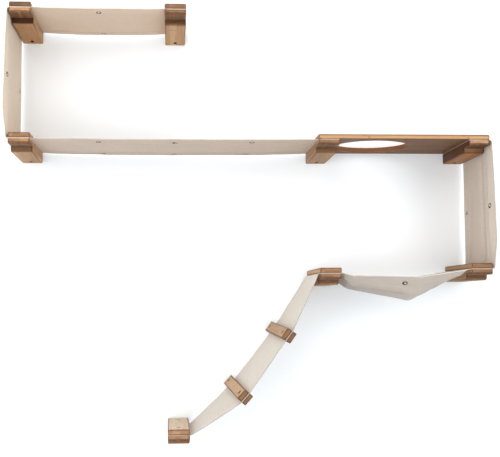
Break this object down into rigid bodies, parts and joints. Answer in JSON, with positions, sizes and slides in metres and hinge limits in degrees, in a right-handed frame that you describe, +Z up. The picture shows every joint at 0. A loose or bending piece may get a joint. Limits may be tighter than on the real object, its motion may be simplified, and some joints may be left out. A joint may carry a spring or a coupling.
{
  "type": "wall-mounted cat tree",
  "caption": "Wall-mounted cat tree: wooden brackets clamp canvas walkways, a sling, a ladder and a shelf with a round hatch.",
  "frame": {"origin": "centre of the back face of the middle-left bracket's arm, on the wall", "axes": "+X to the right along the wall, +Y into the wall, +Z up; the front faces -Y"},
  "size_m": [1.3045, 0.2674, 1.1596],
  "materials": {
    "bamboo": "oiled caramel-brown bamboo, satin",
    "canvas": "natural beige cotton canvas, matt",
    "eyelet_metal": "darkened metal",
    "bolt_steel": "black oxide",
    "insert_brass": "plain"
  },
  "bodies": {
    "root": {"top_left_arm": "bamboo", "top_right_arm": "bamboo", "mid_left_arm": "bamboo", "mid_centre_arm": "bamboo", "mid_right_arm": "bamboo", "lower_centre_arm": "bamboo", "lower_right_arm": "bamboo", "ladder_foot_arm": "bamboo", "top_left_cap": "bamboo", "top_right_cap": "bamboo", "mid_left_cap": "bamboo", "lower_centre_cap": "bamboo", "lower_right_cap": "bamboo", "ladder_foot_cap": "bamboo", "hatch_shelf": "bamboo", "upper_rung_top": "bamboo", "upper_rung_bottom": "bamboo", "lower_rung_top": "bamboo", "lower_rung_bottom": "bamboo", "top_canvas": "canvas", "left_side_canvas": "canvas", "raceway_canvas": "canvas", "right_side_canvas": "canvas", "hammock_canvas": "canvas", "ladder_canvas": "canvas", "eyelets": "eyelet_metal", "cap_bolts": "bolt_steel", "shelf_bolts": "bolt_steel", "rung_bolts": "bolt_steel", "arm_inserts": "insert_brass", "rung_inserts": "insert_brass"}
  },
  "joints": []
}
